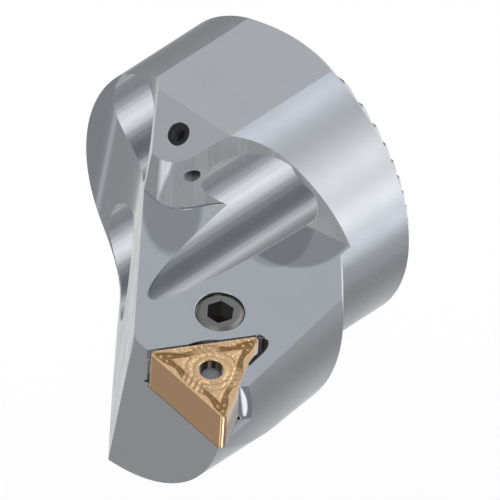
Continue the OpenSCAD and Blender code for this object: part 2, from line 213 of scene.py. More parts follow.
# long fine scratches, as noise scaled by a number of its own along each axis, and soft clouds
def buildScratchGroup():
    inputs = [("Vector", "NodeSocketVector", None), ("Stretch", "NodeSocketVector", (1, 1, 1))]
    s, given, made = newGroup("scratchGrain", inputs, [("Height", "NodeSocketFloat"), ("Cloud", "NodeSocketFloat")])
    scaled = s.add("ShaderNodeVectorMath", operation="MULTIPLY")
    s.join(given.outputs["Vector"], scaled.inputs[0])
    s.join(given.outputs["Stretch"], scaled.inputs[1])
    fine = s.add("ShaderNodeTexNoise", Scale=1.0, Detail=3.0, Roughness=0.6)
    s.join(scaled.outputs[0], fine.inputs["Vector"])
    cloud = s.add("ShaderNodeTexNoise", Scale=260.0, Detail=4.0, Roughness=0.55)
    s.join(given.outputs["Vector"], cloud.inputs["Vector"])
    s.join(fine.outputs["Fac"], made.inputs["Height"])
    s.join(cloud.outputs["Fac"], made.inputs["Cloud"])
    return s.tree


# rays that find sharp edges, inner corners and the depths of holes, for painted highlights on edges and
# painted shade in corners and holes: name and value of their length, in mm, whether they run inside
# the solid, and the two shares of blocked rays between which the mask rises
cornerRays = {
    "Edge": ("Edge Width", 0.09, True, 0.35, 0.75),
    "Crease": ("Crease Width", 0.22, False, 0.40, 0.85),
    "Cavity": ("Cavity Depth", 2.2, False, 0.50, 0.80),
}


def buildCornerGroup(p):
    inputs = [(setting, "NodeSocketFloat", length * mm) for setting, length, *rest in p.values()]
    s, given, made = newGroup("cornerShade", inputs, [(target, "NodeSocketFloat") for target in p])
    for target, (setting, length, inside, low, high) in p.items():
        rays = s.add("ShaderNodeAmbientOcclusion", samples=12, inside=inside, only_local=inside)
        s.join(given.outputs[setting], rays.inputs["Distance"])
        s.join(s.rise(s.flip(rays.outputs["AO"]), low, high), made.inputs[target])
    return s.tree


# places on the part in mm: the point with its x, y and z from the coupling face, and its u, v and
# w from the middle of the insert's top along the insert's own axes
def buildPlaceGroup():
    labels = "XYZUVW"
    s, given, made = newGroup("placeOnPart", [("Vector", "NodeSocketVector", None)],
                              [("Point", "NodeSocketVector")] + [(label, "NodeSocketFloat") for label in labels])
    scaled = s.add("ShaderNodeVectorMath", operation="SCALE", Scale=1 / mm)
    s.join(given.outputs["Vector"], scaled.inputs[0])
    point = scaled.outputs[0]
    own = [s.along(point, insertAt, insertTurn[:, k]) for k in range(3)]
    s.join(point, made.inputs["Point"])
    for label, value in zip(labels, (*s.split(point), *own)):
        s.join(value, made.inputs[label])
    return s.tree


# distance of a point from a straight line: the length of the cross product of the line's direction
# and the step from a point on it
def buildLineGroup():
    inputs = [("Point", "NodeSocketVector", None), ("Start", "NodeSocketVector", (0, 0, 0)),
              ("Direction", "NodeSocketVector", (0, 0, 1))]
    s, given, made = newGroup("distanceFromLine", inputs, [("Distance", "NodeSocketFloat")])
    offset = s.add("ShaderNodeVectorMath", operation="SUBTRACT")
    s.join(given.outputs["Point"], offset.inputs[0])
    s.join(given.outputs["Start"], offset.inputs[1])
    across = s.add("ShaderNodeVectorMath", operation="CROSS_PRODUCT")
    s.join(offset.outputs[0], across.inputs[0])
    s.join(given.outputs["Direction"], across.inputs[1])
    size = s.add("ShaderNodeVectorMath", operation="LENGTH")
    s.join(across.outputs[0], size.inputs[0])
    s.join(size.outputs["Value"], made.inputs["Distance"])
    return s.tree


scratchGroup = buildScratchGroup()
cornerGroup = buildCornerGroup(cornerRays)
placeGroup = buildPlaceGroup()
lineGroup = buildLineGroup()


def startMaterial(name, metallic, roughness):
    material = bpy.data.materials.new(name)
    material.use_nodes = True
    s = Shader(material.node_tree)
    shader = material.node_tree.nodes["Principled BSDF"]
    shader.inputs["Metallic"].default_value = metallic
    shader.inputs["Roughness"].default_value = roughness
    coords = s.add("ShaderNodeTexCoord")
    return material, s, shader, coords


def useGroup(s, tree, **values):
    node = s.tree.nodes.new("ShaderNodeGroup")
    node.node_tree = tree
    for key, value in values.items():
        node.inputs[key].default_value = value
    return node


# where each point of a material lies, in mm, and which way the true surface faces there
class Places:
    def __init__(self, s, coords):
        self.s = s
        place = useGroup(s, placeGroup)
        s.join(coords.outputs["Object"], place.inputs["Vector"])
        self.point, self.x, self.y, self.z, self.u, self.v, self.w = place.outputs
        self.normal = s.add("ShaderNodeNewGeometry").outputs["Normal"]
        self.nx, self.ny, self.nz = s.split(self.normal)

    def fromLine(self, start, direction):
        way = Vector([float(v) for v in direction]).normalized()
        line = useGroup(self.s, lineGroup, Start=[float(v) for v in start], Direction=way)
        self.s.join(self.point, line.inputs["Point"])
        return line.outputs["Distance"]

    # distance from the insert's middle towards one of its sides, told by the side's angle in degrees
    def towardsSide(self, angle):
        s, turn = self.s, math.radians(angle)
        return s.math("ADD", s.times(self.u, math.cos(turn)), s.times(self.v, math.sin(turn)))

    # how squarely the surface faces a direction: a mask that rises between two cosines
    def facing(self, direction, low, high):
        way = Vector([float(v) for v in direction]).normalized()
        return self.s.rise(self.s.dot(self.normal, way), low, high)


bodySteel = {
    "milled": (0.612, 0.626, 0.664),
    "turned": (0.608, 0.624, 0.664),
    "cloudy": (0.575, 0.59, 0.63),
    # painted highlight along sharp edges, painted shade in inner corners and painted shade deep in holes
    "edgeHighlight": (0.92, 0.94, 0.98),
    "paintedCreaseShade": (0.24, 0.25, 0.27),
    "depth": (0.012, 0.012, 0.014),
    "roughness": 0.25,
    "scratchDepth": 0.0012 * mm,
    "turningDepth": 0.002 * mm,
    "turnedFrom": 15.90,  # distance from the axis, in mm, where the turned finish starts
}

# screw grooves: radius and distance of the axes from both middle planes, in mm, and painted reflection
# bands along their turn, as the angle of the wall's normal in degrees and the share of the steel's own
# tone
screwGrooves = {
    "radius": 4.75,
    "centre": 7.778,
    "turn": [
        (-40, 0.62), (-25, 0.66), (-18, 1.28), (-10, 1.12), (-4, 0.95), (3, 0.70), (9, 0.45), (18, 0.52),
        (24, 0.64), (30, 0.98), (37, 1.03), (48, 1.08), (54, 0.74), (60, 0.40), (66, 0.26), (72, 0.31),
        (78, 0.38), (84, 0.52), (90, 0.92), (97, 1.08), (108, 1.03), (120, 0.98),
    ],
}

# chip space: places in mm, and painted reflections, light and shade as shares of the steel's own tone
chipSpace = {
    # painted reflections of the wall in the polished floor, as ovals in the insert's own plane: centre,
    # direction of the first axis, both half lengths, softness of the rim, and share of tone
    "wallReflections": [
        ((-17.38, 10.68), (-0.678, -0.735), (2.86, 6.05), 0.10, 0.64),
        ((-7.80, 18.21), (-0.986, 0.164), (5.19, 5.40), 0.05, 0.62),
        ((-9.49, 16.78), (-0.691, -0.723), (3.72, 5.56), 0.04, 0.76),
    ],
    # the stretch of the wall along the axis
    "front": -19.5,
    "rear": -8.2,
    # painted shade on the part of the wall that faces the dark side of the room: the way it faces, where
    # it starts on the far side, the slant that bounds it on the nose (x against z), and its share of tone
    "darkWay": (0.25, -0.96, -0.14),
    "darkFrom": 5.0,
    "slantStart": -2.9,
    "slant": 0.389,
    "darkTone": 0.47,
    # painted reflection tone along the turn of the wall: direction it faces, in degrees from +X, and share
    "turn": [
        (-95, 0.96), (-89, 0.98), (-86, 1.40), (-83, 1.29), (-80, 1.10), (-77, 0.93), (-71, 1.18),
        (-68, 1.55), (-65, 1.25), (-62, 1.0), (-59, 0.88), (-56, 0.76), (-53, 0.68), (-50, 0.54),
        (-47, 0.29), (-44, 0.196), (-41, 0.17), (-35, 0.168), (-32, 0.213), (-29, 0.40), (-25, 0.5),
    ],
    # painted shade along the foot of the wall: its height over the insert's top, where it starts, and
    # how strong it is
    "foot": 0.13,
    "footFrom": -4.0,
    "footShade": 0.75,
}

# small facet beside the nose of the insert, lit in a crescent, with painted shade over the rest
besideFacet = {
    # the way it faces, its level way, and how far it goes below and above the insert's top, in mm
    "way": (0.77, -0.62, -0.18),
    "level": (0.627, 0.779, 0),
    "bottom": -5.0,
    "top": 0.6,
    # both sides of the crescent in mm along the level way, the outer one bowed and the inner one
    # leaning, and where it starts at the bottom
    "outer": -8.30,
    "bow": 0.0753,
    "bowMiddle": -2.43,
    "inner": -9.20,
    "lean": 0.09,
    "foot": -4.5,
    # the crescent takes away part of the painted shade; the rest of the facet keeps all of it
    "light": 0.5,  # how much of the shade the crescent takes away
    "dark": 0.10,  # tone of the rest
}

# painted highlight streak, with painted shade on one side, on the front face of the flange: a point
# on it and the way across it, in x and z, and the x it ends at
flangeHighlight = {
    "at": (-13.03, 0.88),
    "across": (0.986, -0.166),
    "end": -7,
    "shade": (0.44, 0.465, 0.51),
    "light": (0.86, 0.88, 0.95),
}

# painted shade in the pocket of the insert and in what opens near it, in mm and in the insert's own plane
insertPocket = {
    "tone": (0.020, 0.020, 0.019),
    # its limits towards the three sides of the insert, and its floor
    "back": 4.3,
    "front": 3.08,
    "open": 3.15,
    "floor": -4.85,
    "frontEnd": (-5.25, -3.3),  # beyond this u and above this w the wall stays bright
    "gapHalf": 5.2,  # half length of the gap under the insert
    "screwHole": 2.62,
    # corner relief, painted as shade wider than the solid's own relief: centre and radius of its round end,
    # then its tail beside the insert, between the insert's side and a slanting line, and between two places
    # along it
    "reliefAt": (0.45, 5.20),
    "reliefRadius": 1.27,
    "tailSide": 3.0,
    "tailSlope": 0.361,
    "tailWide": 2.22,
    "tailEnds": (2.9, 5.3),
    "reliefShade": (0.045, 0.045, 0.045),
}

# coolant jet, in mm: a point on its axis, its direction and radius, the y it opens at, and the tone and
# strength of the painted shade inside it
coolantJet = {
    "at": (1.86, -15.95, 10.22),
    "way": (0.645, -0.7134, -0.2738),
    "radius": 0.84,
    "mouth": -15.0,
    "tone": (0.10, 0.096, 0.12),
    "shade": 0.85,
}


# a tone read off a list of angles, in degrees, and shares
def toneRamp(s, angle, tones):
    first, last = tones[0][0], tones[-1][0]
    place = s.range(angle, math.radians(first), math.radians(last), smooth=False)
    return s.ramp(place, [((turn - first) / (last - first), (tone, tone, tone)) for turn, tone in tones])


# screw grooves: where they are, and their painted reflection bands by the angle round the nearest axis
def grooveReflectionBands(s, at, p):
    dx = s.math("SUBTRACT", s.times(s.math("SIGN", at.x), p["centre"]), at.x)
    dz = s.math("SUBTRACT", s.times(s.math("SIGN", at.z), p["centre"]), at.z)
    off = s.math("ABSOLUTE", s.math("SUBTRACT", s.length(dx, dz), p["radius"]))
    inGroove = s.times(s.fall(off, 0.03, 0.06), s.fall(s.math("ABSOLUTE", at.ny), 0.3, 0.4))
    return inGroove, toneRamp(s, s.math("ARCTAN2", dz, dx), p["turn"])


# painted soft reflections of the chip wall in the polished floor: each is an oval, told by the length
# of the step from its centre with both parts divided by its half lengths
def floorReflections(s, at, onRake, colour, p):
    for centre, first, halves, soft, share in p["wallReflections"]:
        du = s.math("SUBTRACT", at.u, centre[0])
        dv = s.math("SUBTRACT", at.v, centre[1])
        second = -first[1], first[0]
        parts = [s.math("ADD", s.times(du, across / half), s.times(dv, up / half))
                 for (across, up), half in zip((first, second), halves)]
        reflection = s.times(onRake, s.fall(s.length(*parts), 1 - soft, 1 + soft))
        colour = s.multiplyColour(reflection, colour, share)
    return colour


# chip wall: painted shade on its far part and on its nose below the slant, which face the dark side
# of the room, and elsewhere a painted reflection tone for each way it faces
def paintedWallLight(s, at, notGroove, colour, p):
    lean = s.math("SUBTRACT", s.math("SUBTRACT", at.x, p["slantStart"]), s.times(at.z, p["slant"]))
    beyond = s.most(s.rise(at.x, p["darkFrom"], p["darkFrom"] + 2), s.rise(lean, -0.15, 0.25))
    facesDark = s.times(at.facing(p["darkWay"], 0.978, 0.992), s.rise(at.z, 0.0, 0.5))
    dark = s.times(facesDark, beyond, s.rise(at.y, p["front"], p["front"] + 0.5))
    colour = s.multiplyColour(dark, colour, p["darkTone"])
    steep = s.times(s.fall(s.math("ABSOLUTE", at.nz), 0.30, 0.36), s.fall(at.ny, -0.2, -0.1))
    between = s.times(s.rise(at.y, p["front"], p["front"] + 0.3), s.fall(at.y, p["rear"] - 0.6, p["rear"]))
    onWall = s.times(steep, between, notGroove, s.rise(at.w, 0.15, 0.3))
    return s.multiplyColour(onWall, colour, toneRamp(s, s.math("ARCTAN2", at.ny, at.nx), p["turn"]))


# painted shade along the line where the chip wall meets the floor
def wallFootShade(s, at, onRake, notGroove, p):
    height = s.math("ABSOLUTE", s.math("SUBTRACT", at.w, p["foot"]))
    onWall = s.times(s.math("SUBTRACT", notGroove, onRake), s.fall(at.ny, -0.3, -0.1))
    within = s.times(s.rise(at.x, p["footFrom"], p["footFrom"] + 1), s.rise(at.y, p["front"], p["front"] + 0.3))
    return s.times(s.fall(height, 0.05, 0.25), onWall, within)


# facet beside the nose of the insert: painted shade, but for the crescent
def paintedFacetShade(s, at, colour, p):
    within = s.math("SUBTRACT", s.rise(at.w, p["bottom"], p["bottom"] + 0.1), s.rise(at.w, p["top"] - 0.3, p["top"]))
    beside = s.times(at.facing(p["way"], 0.98, 0.99), within)
    level = s.dot(at.point, p["level"])
    height = s.math("SUBTRACT", at.z, p["bowMiddle"])
    bowed = s.math("ADD", level, s.times(height, height, p["bow"]))
    leaning = s.math("ADD", level, s.times(at.z, p["lean"]))
    crescent = s.times(s.rise(at.w, p["foot"], p["foot"] + 0.3), s.rise(leaning, p["inner"], p["inner"] + 0.25),
                       s.fall(bowed, p["outer"] - 0.16, p["outer"]), p["light"])
    return s.multiplyColour(s.times(beside, s.flip(crescent)), colour, p["dark"])


# front face of the flange: a painted highlight streak with painted shade on one side
def paintedFlangeStreak(s, at, colour, p):
    dx = s.times(s.math("SUBTRACT", at.x, p["at"][0]), p["across"][0])
    dz = s.times(s.math("SUBTRACT", at.z, p["at"][1]), p["across"][1])
    aside = s.math("ADD", dx, dz)
    onFace = s.times(s.fall(at.ny, -0.9999, -0.997), s.fall(at.x, p["end"] - 2, p["end"]))
    shaded = s.mixColour(s.times(onFace, s.range(aside, -1.1, -0.1, 0.75, 0.1)), colour, p["shade"])
    highlight = s.times(onFace, s.rise(aside, -0.45, 0.0), s.fall(aside, 0.0, 0.55))
    return s.mixColour(highlight, shaded, p["light"])


# painted shade over the wide round of the corner relief and over its tail along the open side of the
# insert, wider than the solid's own relief
def paintedReliefShade(s, at, onRake, fromRelief, p):
    disc = s.fall(fromRelief, p["reliefRadius"] - 0.03, p["reliefRadius"] + 0.03)
    disc = s.times(disc, onRake, s.rise(at.u, -0.35, -0.05))
    openSide = at.towardsSide(30)
    aside = s.math("SUBTRACT", openSide, s.times(at.v, p["tailSlope"]))
    tail = s.fall(aside, p["tailWide"], p["tailWide"] + 0.08)
    low, high = p["tailEnds"]
    ends = s.times(s.rise(at.v, low, low + 0.2), s.fall(at.v, high, high + 0.1))
    return s.most(disc, s.times(tail, ends, s.rise(openSide, p["tailSide"], p["tailSide"] + 0.1), onRake))


# painted shade on the walls of the pocket below the floor of the chip space, of the relief and of the
# screw's hole
def pocketShadeMask(s, at, fromRelief, p):
    sunk = s.times(s.fall(at.w, 0.06, 0.11), s.rise(at.w, p["floor"], p["floor"] + 0.07))
    inside = s.times(s.fall(at.towardsSide(150), p["back"], p["back"] + 0.1),
                     s.fall(at.towardsSide(-90), p["front"] - 0.05, p["front"]),
                     s.fall(at.towardsSide(30), p["open"], p["open"] + 0.1))
    u, w = p["frontEnd"]
    atFront = s.times(s.fall(at.u, u, u + 0.15), s.rise(at.w, w, w + 0.1))
    nearRelief = s.fall(fromRelief, p["reliefRadius"] + 0.25, p["reliefRadius"] + 0.35)
    hole = s.fall(at.fromLine(screwTop, rakeNormal), p["screwHole"], p["screwHole"] + 0.05)
    return s.times(sunk, s.most(s.times(inside, s.flip(atFront)), nearRelief, hole))


# painted shadow in the thin gap under the insert, seen from the front
def gapShadowMask(s, at, p):
    offGap = s.math("ABSOLUTE", s.math("SUBTRACT", at.w, p["floor"]))
    within = s.fall(s.math("ABSOLUTE", at.u), p["gapHalf"], p["gapHalf"] + 0.3)
    return s.times(s.fall(offGap, 0.05, 0.10), within, s.fall(at.ny, -0.95, -0.90))


# steel of the body: rings on what was turned, long scratches on what was milled, painted highlights
# along the edges, painted shade in inner corners and holes, and the painted reflections, light and shade
# of the grooves, the chip space, the flange and the pocket
def buildBodySteel(p):
    material, s, shader, coords = startMaterial("milledSteel", 1.0, p["roughness"])
    at = Places(s, coords)
    acrossAxis = s.fall(s.math("ABSOLUTE", at.ny), 0.05, 0.15)
    turned = s.times(s.rise(s.length(at.x, at.z), p["turnedFrom"], p["turnedFrom"] + 0.07), acrossAxis)
    milledGrain = useGroup(s, scratchGroup, Stretch=(300, 2600, 1500))
    turnedGrain = useGroup(s, scratchGroup, Stretch=(20, 5000, 20))
    s.join(coords.outputs["Object"], milledGrain.inputs["Vector"])
    s.join(coords.outputs["Object"], turnedGrain.inputs["Vector"])
    corner = useGroup(s, cornerGroup)

    colour = s.mixColour(turned, p["milled"], p["turned"])
    colour = s.mixColour(s.range(milledGrain.outputs["Cloud"], 0.3, 0.7, 0.0, 0.5), colour, p["cloudy"])
    # painted reflections in the grooves and floor, painted light and shade on the wall, facet and flange, and
    # painted shade at the wall's foot
    inGroove, tone = grooveReflectionBands(s, at, screwGrooves)
    notGroove = s.flip(inGroove)
    onRake = s.times(notGroove, at.facing(rakeNormal, 0.990, 0.997))
    colour = s.multiplyColour(inGroove, colour, tone)
    colour = floorReflections(s, at, onRake, colour, chipSpace)
    colour = paintedWallLight(s, at, notGroove, colour, chipSpace)
    colour = paintedFacetShade(s, at, colour, besideFacet)
    colour = paintedFlangeStreak(s, at, colour, flangeHighlight)
    foot = wallFootShade(s, at, onRake, notGroove, chipSpace)
    colour = s.mixColour(s.times(foot, chipSpace["footShade"]), colour, p["paintedCreaseShade"])

    # painted shade in the corner relief, wider than the solid's own relief
    reliefCentre = insertAt + insertTurn[:, :2] @ np.array(insertPocket["reliefAt"])
    fromRelief = at.fromLine(reliefCentre, rakeNormal)
    relief = paintedReliefShade(s, at, onRake, fromRelief, insertPocket)
    colour = s.mixColour(relief, colour, insertPocket["reliefShade"])
    # painted shade inside the coolant jet's bore
    jet = s.fall(at.fromLine(coolantJet["at"], coolantJet["way"]), coolantJet["radius"], coolantJet["radius"] + 0.01)
    jet = s.times(jet, s.fall(at.y, coolantJet["mouth"], coolantJet["mouth"] + 1), coolantJet["shade"])
    colour = s.mixColour(jet, colour, coolantJet["tone"])
    # painted shade on the pocket walls and in the gap under the insert
    pocketShade = s.most(pocketShadeMask(s, at, fromRelief, insertPocket), gapShadowMask(s, at, insertPocket))
    colour = s.mixColour(pocketShade, colour, insertPocket["tone"])

    # painted shade in inner corners and deep in holes, and painted highlights along the edges
    colour = s.mixColour(s.times(corner.outputs["Crease"], 0.8), colour, p["paintedCreaseShade"])
    colour = s.mixColour(s.times(corner.outputs["Cavity"], notGroove), colour, p["depth"])
    highlightedEdges = s.times(corner.outputs["Edge"], 0.7, s.flip(s.most(pocketShade, relief, foot)))
    s.join(s.mixColour(highlightedEdges, colour, p["edgeHighlight"]), shader.inputs["Base Color"])
    rough = s.range(milledGrain.outputs["Cloud"], 0.25, 0.75, p["roughness"] - 0.02, p["roughness"] + 0.03)
    s.join(rough, shader.inputs["Roughness"])
    millBump = s.add("ShaderNodeBump", Strength=0.5, Distance=p["scratchDepth"])
    s.join(milledGrain.outputs["Height"], millBump.inputs["Height"])
    turnBump = s.add("ShaderNodeBump", Distance=p["turningDepth"])
    s.join(turnedGrain.outputs["Height"], turnBump.inputs["Height"])
    s.join(turned, turnBump.inputs["Strength"])
    s.join(millBump.outputs["Normal"], turnBump.inputs["Normal"])
    s.join(turnBump.outputs["Normal"], shader.inputs["Normal"])
    return material


darkSteel = {
    "leverColour": (0.30, 0.30, 0.33),
    "screwColour": (0.275, 0.27, 0.268),
    "plugColour": (0.05, 0.05, 0.055),
    # painted shade deep in holes, and painted highlight along sharp edges
    "depth": (0.008, 0.008, 0.009),
    "edgeHighlight": (0.45, 0.45, 0.47),
    "roughness": 0.36,
    # painted shade in the screw's socket, in mm: distance from the axis and depth below the top where it
    # starts
    "socketRadius": 1.47,
    "socketStart": 0.06,
    "socketShade": (0.011, 0.010, 0.009),
}


# hardened or blackened steel: fine cloudy tone, painted highlights along its edges, and painted shade
# deep in its holes and, where a socket is given, in the socket
def buildDarkSteel(name, colour, p, socketTop=None):
    material, s, shader, coords = startMaterial(name, 1.0, p["roughness"])
    grain = useGroup(s, scratchGroup, Stretch=(5000, 5000, 5000))
    s.join(coords.outputs["Object"], grain.inputs["Vector"])
    corner = useGroup(s, cornerGroup)
    cloud = s.range(grain.outputs["Cloud"], 0.3, 0.7, 0.0, 0.4)
    tone = s.mixColour(cloud, colour, tuple(0.75 * v for v in colour))
    # painted shade deep in holes
    tone = s.mixColour(corner.outputs["Cavity"], tone, p["depth"])
    if socketTop is not None:
        at = Places(s, coords)
        within = s.fall(at.fromLine(socketTop, rakeNormal), p["socketRadius"], p["socketRadius"] + 0.03)
        height = s.along(at.point, socketTop, rakeNormal)
        below = s.fall(height, -p["socketStart"] - 0.05, -p["socketStart"])
        tone = s.mixColour(s.times(within, below), tone, p["socketShade"])
    # painted highlights along the edges
    s.join(s.mixColour(s.times(corner.outputs["Edge"], 0.35), tone, p["edgeHighlight"]), shader.inputs["Base Color"])
    rough = s.range(grain.outputs["Height"], 0.3, 0.7, p["roughness"] - 0.05, p["roughness"] + 0.08)
    s.join(rough, shader.inputs["Roughness"])
    bump = s.add("ShaderNodeBump", Strength=0.4, Distance=0.002 * mm)
    s.join(grain.outputs["Height"], bump.inputs["Height"])
    s.join(bump.outputs["Normal"], shader.inputs["Normal"])
    return material


insertCoat = {
    "flank": (0.80, 0.50, 0.275),
    # painted light along the top of the flank towards the chip space, and painted shade further down
    "flankLit": (0.97, 0.65, 0.44),
    "flankShade": (0.17, 0.125, 0.08),
    "top": (0.98, 0.67, 0.37),
    "cloudy": (0.74, 0.47, 0.29),
    # painted shade in the pits and inner corners, painted highlight along the edges, painted shade in the hole
    "deep": (0.36, 0.205, 0.075),
    "edge": (1.0, 0.88, 0.66),
    "bore": (0.03, 0.025, 0.018),
    "pressedScale": 2600.0,
    "pressedDepth": 0.16 * mm,
    "roughness": 0.15,
}


# hard coating of the insert: peach gold, with painted shade in the pits, inner corners and hole, and
# painted highlights along the edges; the flank towards the chip space has painted light along its top and
# painted shade from the pocket further down
def buildCoat(p):
    material, s, shader, coords = startMaterial("hardCoating", 1.0, p["roughness"])
    at = Places(s, coords)
    grain = useGroup(s, scratchGroup, Stretch=(9000, 9000, 9000))
    s.join(coords.outputs["Object"], grain.inputs["Vector"])
    marks = [s.add("ShaderNodeAttribute", attribute_name=name) for name in ("pitDepth", "onFace", "inBore")]
    depth, face, bore = (mark.outputs["Fac"] for mark in marks)
    corner = useGroup(s, cornerGroup)
    turn = math.radians(30)
    innerSide = at.facing(insertTurn @ np.array([math.cos(turn), math.sin(turn), 0]), 0.85, 0.97)
    # painted light along the flank's top and painted shade further down, then painted shade in the pits
    sideTone = s.mixColour(s.rise(at.w, -2.7, -0.3), p["flankShade"], p["flankLit"])
    flank = s.mixColour(innerSide, p["flank"], sideTone)
    colour = s.mixColour(face, flank, s.mixColour(depth, p["top"], p["deep"]))
    colour = s.mixColour(s.range(grain.outputs["Cloud"], 0.3, 0.7, 0.0, 0.2), colour, p["cloudy"])
    # painted shade in inner corners and in the hole, and painted highlights along the edges
    colour = s.mixColour(s.times(corner.outputs["Crease"], 0.7), colour, p["deep"])
    colour = s.mixColour(bore, colour, p["bore"])
    s.join(s.mixColour(s.times(corner.outputs["Edge"], 0.6), colour, p["edge"]), shader.inputs["Base Color"])
    rough = s.range(grain.outputs["Height"], 0.3, 0.7, p["roughness"] - 0.03, p["roughness"] + 0.04)
    s.join(rough, shader.inputs["Roughness"])
    bump = s.add("ShaderNodeBump", Strength=0.3, Distance=0.003 * mm)
    s.join(grain.outputs["Height"], bump.inputs["Height"])
    # small unevenness of the pressed face
    pressed = s.add("ShaderNodeTexNoise", Scale=p["pressedScale"], Detail=2.0, Roughness=0.5)
    s.join(coords.outputs["Object"], pressed.inputs["Vector"])
    uneven = s.add("ShaderNodeBump", Distance=p["pressedDepth"])
    s.join(pressed.outputs["Fac"], uneven.inputs["Height"])
    s.join(face, uneven.inputs["Strength"])
    s.join(bump.outputs["Normal"], uneven.inputs["Normal"])
    s.join(uneven.outputs["Normal"], shader.inputs["Normal"])
    return material


milledSteel = buildBodySteel(bodySteel)
leverSteel = buildDarkSteel("leverSteel", darkSteel["leverColour"], darkSteel)
screwSteel = buildDarkSteel("blackenedSteel", darkSteel["screwColour"], darkSteel, screwTop)
plugSteel = buildDarkSteel("plugSteel", darkSteel["plugColour"], darkSteel)
hardCoating = buildCoat(insertCoat)
print("materials ready")


def dress(obj, material):
    obj.data.materials.clear()
    obj.data.materials.append(material)


insertForm = {
    # lengths in mm
    "inscribed": 3.175,
    "cornerRadius": 0.4,
    "thickness": 4.76,
    "holeRadius": 1.15,
    "honed": 0.03,
    "grooveDepth": 0.34,
    "lipFall": 0.035,
    # bumps: distance from the middle of the side, distance in from it, size and height
    "bumps": [(4.35, 0.55, 0.15, 0.22), (3.62, 0.70, 0.17, 0.24), (2.55, 0.98, 0.14, 0.14)],
    "ribPitch": 0.62,
    "ribHeight": 0.085,
    "ribSunk": 0.05,
    "fieldDepth": 0.17,
    "tableRise": 0.035,
    "teeth": 11,
    "teethAt": 2.75,
    "teethHeight": 0.06,
    "padRadius": 2.05,
    "padLobe": 0.22,
    "rings": [(1.76, 0.19, -0.16), (1.36, 0.12, 0.11)],  # radius, width, height
    "rimSunk": 0.13,
    # number of points along each side, round each corner and across the face
    "alongEdge": 190,
    "roundCorner": 10,
    "acrossFace": 76,
}


# outline of the insert: three straight sides joined by arcs, walked once round as one closed line
def insertOutline(p):
    a, r = p["inscribed"], p["cornerRadius"]
    half = (a - r) * math.tan(math.radians(60))
    side = np.stack([np.linspace(-half, half, p["alongEdge"], endpoint=False), np.full(p["alongEdge"], -a)], 1)
    turn = np.radians(np.linspace(-90, 30, p["roundCorner"], endpoint=False))
    corner = np.stack([half + r * np.cos(turn), -(a - r) + r * np.sin(turn)], 1)
    one = np.vstack([side, corner])
    out = []
    for k in range(3):
        c, s = math.cos(math.radians(120 * k)), math.sin(math.radians(120 * k))
        out.append(one @ np.array([[c, s], [-s, c]]))
    return np.vstack(out)


# height of the moulded face: the three sides share one form, told by the distance in from the
# nearest side and the distance along it; a lip falls into a long hollow towards each corner, and
# ribs cross between the hollows; behind stands a triangular table in each corner, and in the middle
# a three-lobed pad whose edge is a circle plus a cosine of three times the angle
def faceHeight(x, y, p):
    inward = np.full(x.shape, 1e9)
    along = np.zeros(x.shape)
    for k in range(3):
        angle = math.radians(120 * k)
        fromSide = p["inscribed"] - (x * math.sin(angle) - y * math.cos(angle))
        nearer = fromSide < inward
        inward = np.where(nearer, fromSide, inward)
        along = np.where(nearer, x * math.cos(angle) + y * math.sin(angle), along)
    apart = np.abs(along)
    radius = np.hypot(x, y)
    turn = np.arctan2(y, x)
    # hollows: a lens from the middle third to the corner, its front lip nearest the side at both ends
    front = 0.12 + 0.42 * np.exp(-((apart - 2.3) / 1.0) ** 2) + 0.05 * smoothStep(0, 1.2, apart)
    back = 0.30 + 0.92 * smoothStep(5.3, 3.4, apart) - 0.10 * smoothStep(1.8, 0.6, apart)
    inHollow = smoothStep(front, front + 0.15, inward) * (1 - smoothStep(back - 0.13, back + 0.03, inward))
    height = -p["grooveDepth"] * inHollow * (0.55 + 0.45 * smoothStep(0.5, 1.6, apart))
    height -= p["lipFall"] * smoothStep(0.0, front, inward) * (1 - inHollow) * (inward < front)
    # round bumps in each hollow
    for bumpAlong, bumpIn, size, rise in p["bumps"]:
        height += rise * np.exp(-((apart - bumpAlong) ** 2 + (inward - bumpIn) ** 2) / size ** 2)
    # ribs across the middle, leaning, with dimples between them
    lean = along + 0.45 * (inward - 0.7)
    ribs = np.cos(2 * np.pi * lean / p["ribPitch"])
    band = smoothStep(0.30, 0.48, inward) * (1 - smoothStep(1.25, 1.55, inward)) * (1 - smoothStep(1.15, 1.7, apart))
    height += band * (p["ribHeight"] * ribs - p["ribSunk"])
    # the sunken field between the tables and the pad; its corners point at the middles of the sides
    table = smoothStep(1.20, 1.42, inward) * smoothStep(2.45, 2.85, radius)
    padEdge = p["padRadius"] + p["padLobe"] * np.cos(3 * turn + np.pi / 2)
    pad = 1 - smoothStep(0.0, 0.22, radius - padEdge)
    field = smoothStep(1.15, 1.35, inward) * (1 - table) * (1 - pad)
    height += p["tableRise"] * table - p["fieldDepth"] * field
    # teeth along the edge of each table
    teeth = np.cos(p["teeth"] * turn) * smoothStep(1.25, 1.5, inward)
    height += p["teethHeight"] * teeth * np.exp(-((radius - p["teethAt"]) / 0.16) ** 2)
    # hollow ring, raised ring and the rolled rim of the hole
    for ringRadius, width, rise in p["rings"]:
        height += rise * np.exp(-((radius - ringRadius) / width) ** 2)
    height -= p["rimSunk"] * (1 - smoothStep(p["holeRadius"], p["holeRadius"] + 0.12, radius))
    return np.minimum(height, 0.0)


